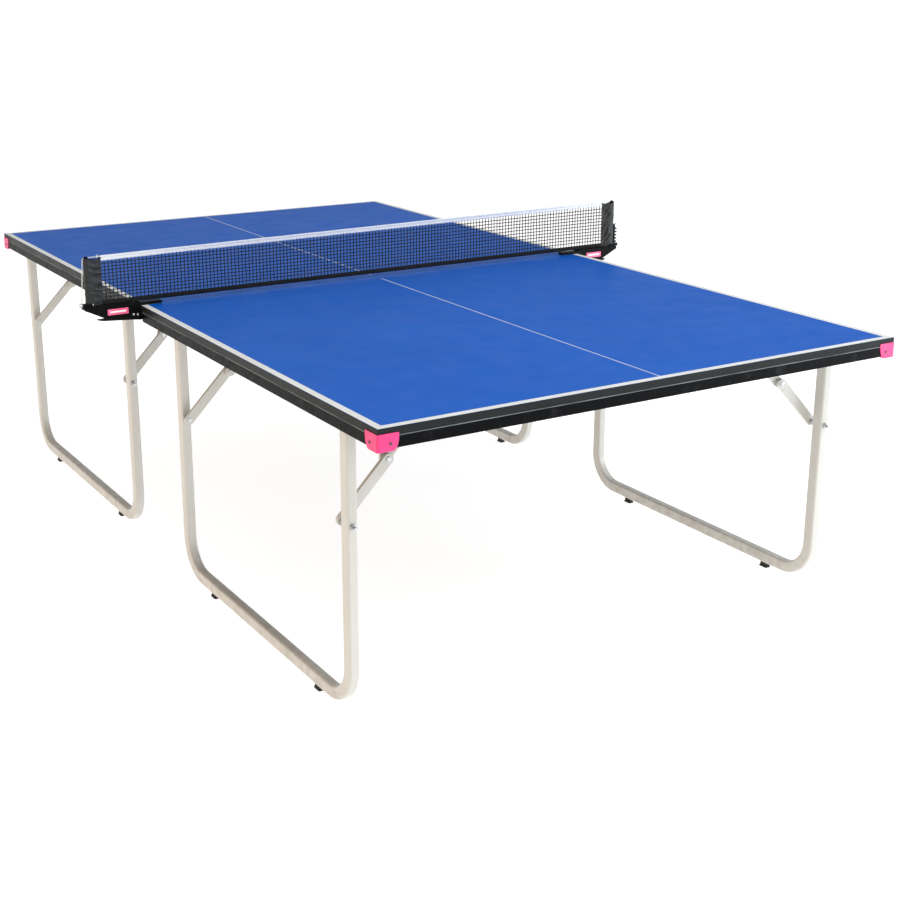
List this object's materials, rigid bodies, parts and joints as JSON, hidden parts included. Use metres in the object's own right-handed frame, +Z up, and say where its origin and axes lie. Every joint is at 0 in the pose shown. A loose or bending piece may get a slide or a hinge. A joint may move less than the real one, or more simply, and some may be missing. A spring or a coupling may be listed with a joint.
{
  "type": "table tennis table",
  "caption": "Folding table tennis table in two halves on hinged U-shaped leg frames with folding stays, steel apron, corner protectors and a clip-on net",
  "frame": {"origin": "on the floor, under the middle of the net", "axes": "+X along the length towards the front half, +Y across the width, +Z up"},
  "size_m": [2.7482, 1.8704, 0.9253],
  "materials": {
    "board": "matt lacquered board, blue on top with white lines, black edge",
    "apron_steel": "satin black powder coat",
    "corner_plastic": "hot pink moulded plastic",
    "leg_steel": "light grey powder coat",
    "foot_rubber": "black rubber",
    "zinc_plate": "zinc-plated pressed steel",
    "zinc_bolt": "zinc-plated fasteners",
    "net_fabric": "black nylon",
    "tape_fabric": "white cotton tape and cord",
    "clamp_steel": "black powder coat",
    "clip_plastic": "black moulded nylon",
    "spring_steel": "spring wire"
  },
  "bodies": {
    "front_half": {"front_tabletop": "board", "front_left_rail": "apron_steel", "front_right_rail": "apron_steel", "front_end_rail": "apron_steel", "front_net_rail": "apron_steel", "front_left_corner": "corner_plastic", "front_right_corner": "corner_plastic", "front_corner_screws": "zinc_bolt", "front_leg_brackets": "zinc_plate", "front_hinge_pins": "zinc_bolt", "front_stay_brackets": "zinc_plate", "front_bracket_screws": "zinc_bolt", "net_mesh": "net_fabric", "net_tape": "tape_fabric", "net_band": "net_fabric", "net_sleeves": "net_fabric", "net_cord": "tape_fabric", "net_posts": "clamp_steel", "left_net_clamp": "clamp_steel", "right_net_clamp": "clamp_steel", "clamp_pads": "foot_rubber", "clamp_pins": "zinc_bolt", "clamp_springs": "spring_steel", "tension_rack": "clip_plastic"},
    "back_half": {"back_tabletop": "board", "back_left_rail": "apron_steel", "back_right_rail": "apron_steel", "back_end_rail": "apron_steel", "back_net_rail": "apron_steel", "back_left_corner": "corner_plastic", "back_right_corner": "corner_plastic", "back_corner_screws": "zinc_bolt", "back_leg_brackets": "zinc_plate", "back_hinge_pins": "zinc_bolt", "back_stay_brackets": "zinc_plate", "back_bracket_screws": "zinc_bolt"},
    "front_left_frame": {"front_left_leg": "leg_steel", "front_left_feet": "foot_rubber"},
    "front_left_upper_stays": {"front_left_upper_links": "leg_steel"},
    "front_left_lower_stays": {"front_left_lower_links": "leg_steel", "front_left_stay_bolts": "zinc_bolt"},
    "front_right_frame": {"front_right_leg": "leg_steel", "front_right_feet": "foot_rubber"},
    "front_right_upper_stays": {"front_right_upper_links": "leg_steel"},
    "front_right_lower_stays": {"front_right_lower_links": "leg_steel", "front_right_stay_bolts": "zinc_bolt"},
    "back_left_frame": {"back_left_leg": "leg_steel", "back_left_feet": "foot_rubber"},
    "back_left_upper_stays": {"back_left_upper_links": "leg_steel"},
    "back_left_lower_stays": {"back_left_lower_links": "leg_steel", "back_left_stay_bolts": "zinc_bolt"},
    "back_right_frame": {"back_right_leg": "leg_steel", "back_right_feet": "foot_rubber"},
    "back_right_upper_stays": {"back_right_upper_links": "leg_steel"},
    "back_right_lower_stays": {"back_right_lower_links": "leg_steel", "back_right_stay_bolts": "zinc_bolt"},
    "left_lever": {"left_clamp_lever": "clip_plastic"},
    "left_screw": {"left_height_screw": "zinc_bolt"},
    "right_lever": {"right_clamp_lever": "clip_plastic"},
    "right_screw": {"right_height_screw": "clip_plastic"}
  },
  "joints": [
    {"name": "back_half_pull", "type": "slide", "parent": "front_half", "child": "back_half", "axis": [-1, 0, 0], "range_m": [0, 0.3]},
    {"name": "front_left_leg_fold", "type": "hinge", "parent": "front_half", "child": "front_left_frame", "pos_m": [0.69, -0.7275, 0.722], "axis": [1, 0, 0], "range_deg": [0, 90]},
    {"name": "front_left_upper_stay_turn", "type": "hinge", "parent": "front_half", "child": "front_left_upper_stays", "pos_m": [0.69, -0.4915, 0.722], "axis": [1, 0, 0], "range_deg": [-46, 0]},
    {"name": "front_left_lower_stay_turn", "type": "hinge", "parent": "front_left_frame", "child": "front_left_lower_stays", "pos_m": [0.69, -0.7275, 0.479], "axis": [1, 0, 0], "range_deg": [0, 45]},
    {"name": "front_right_leg_fold", "type": "hinge", "parent": "front_half", "child": "front_right_frame", "pos_m": [0.69, 0.7275, 0.722], "axis": [-1, 0, 0], "range_deg": [0, 90]},
    {"name": "front_right_upper_stay_turn", "type": "hinge", "parent": "front_half", "child": "front_right_upper_stays", "pos_m": [0.69, 0.4915, 0.722], "axis": [-1, 0, 0], "range_deg": [-46, 0]},
    {"name": "front_right_lower_stay_turn", "type": "hinge", "parent": "front_right_frame", "child": "front_right_lower_stays", "pos_m": [0.69, 0.7275, 0.479], "axis": [-1, 0, 0], "range_deg": [0, 45]},
    {"name": "back_left_leg_fold", "type": "hinge", "parent": "back_half", "child": "back_left_frame", "pos_m": [-0.69, -0.7275, 0.722], "axis": [1, 0, 0], "range_deg": [0, 90]},
    {"name": "back_left_upper_stay_turn", "type": "hinge", "parent": "back_half", "child": "back_left_upper_stays", "pos_m": [-0.69, -0.4915, 0.722], "axis": [1, 0, 0], "range_deg": [-46, 0]},
    {"name": "back_left_lower_stay_turn", "type": "hinge", "parent": "back_left_frame", "child": "back_left_lower_stays", "pos_m": [-0.69, -0.7275, 0.479], "axis": [1, 0, 0], "range_deg": [0, 45]},
    {"name": "back_right_leg_fold", "type": "hinge", "parent": "back_half", "child": "back_right_frame", "pos_m": [-0.69, 0.7275, 0.722], "axis": [-1, 0, 0], "range_deg": [0, 90]},
    {"name": "back_right_upper_stay_turn", "type": "hinge", "parent": "back_half", "child": "back_right_upper_stays", "pos_m": [-0.69, 0.4915, 0.722], "axis": [-1, 0, 0], "range_deg": [-46, 0]},
    {"name": "back_right_lower_stay_turn", "type": "hinge", "parent": "back_right_frame", "child": "back_right_lower_stays", "pos_m": [-0.69, 0.7275, 0.479], "axis": [-1, 0, 0], "range_deg": [0, 45]},
    {"name": "left_lever_squeeze", "type": "hinge", "parent": "front_half", "child": "left_lever", "pos_m": [0, -0.785, 0.737], "axis": [-1, 0, 0], "range_deg": [0, 10], "stiffness_Nm_per_rad": 3, "springref_deg": -17.19},
    {"name": "left_height_screw_turn", "type": "hinge", "parent": "front_half", "child": "left_screw", "pos_m": [0, -0.93, 0.775], "axis": [0, 1, 0], "continuous": true},
    {"name": "right_lever_squeeze", "type": "hinge", "parent": "front_half", "child": "right_lever", "pos_m": [0, 0.785, 0.737], "axis": [1, 0, 0], "range_deg": [0, 10], "stiffness_Nm_per_rad": 3, "springref_deg": -17.19},
    {"name": "right_height_screw_turn", "type": "hinge", "parent": "front_half", "child": "right_screw", "pos_m": [0, 0.93, 0.775], "axis": [0, 1, 0], "continuous": true}
  ],
  "couplings": [
    {"joint": "front_left_upper_stay_turn", "follows": "front_left_leg_fold", "ratio": -0.5093},
    {"joint": "front_left_lower_stay_turn", "follows": "front_left_leg_fold", "ratio": 0.4907},
    {"joint": "front_right_upper_stay_turn", "follows": "front_right_leg_fold", "ratio": -0.5093},
    {"joint": "front_right_lower_stay_turn", "follows": "front_right_leg_fold", "ratio": 0.4907},
    {"joint": "back_left_upper_stay_turn", "follows": "back_left_leg_fold", "ratio": -0.5093},
    {"joint": "back_left_lower_stay_turn", "follows": "back_left_leg_fold", "ratio": 0.4907},
    {"joint": "back_right_upper_stay_turn", "follows": "back_right_leg_fold", "ratio": -0.5093},
    {"joint": "back_right_lower_stay_turn", "follows": "back_right_leg_fold", "ratio": 0.4907}
  ]
}
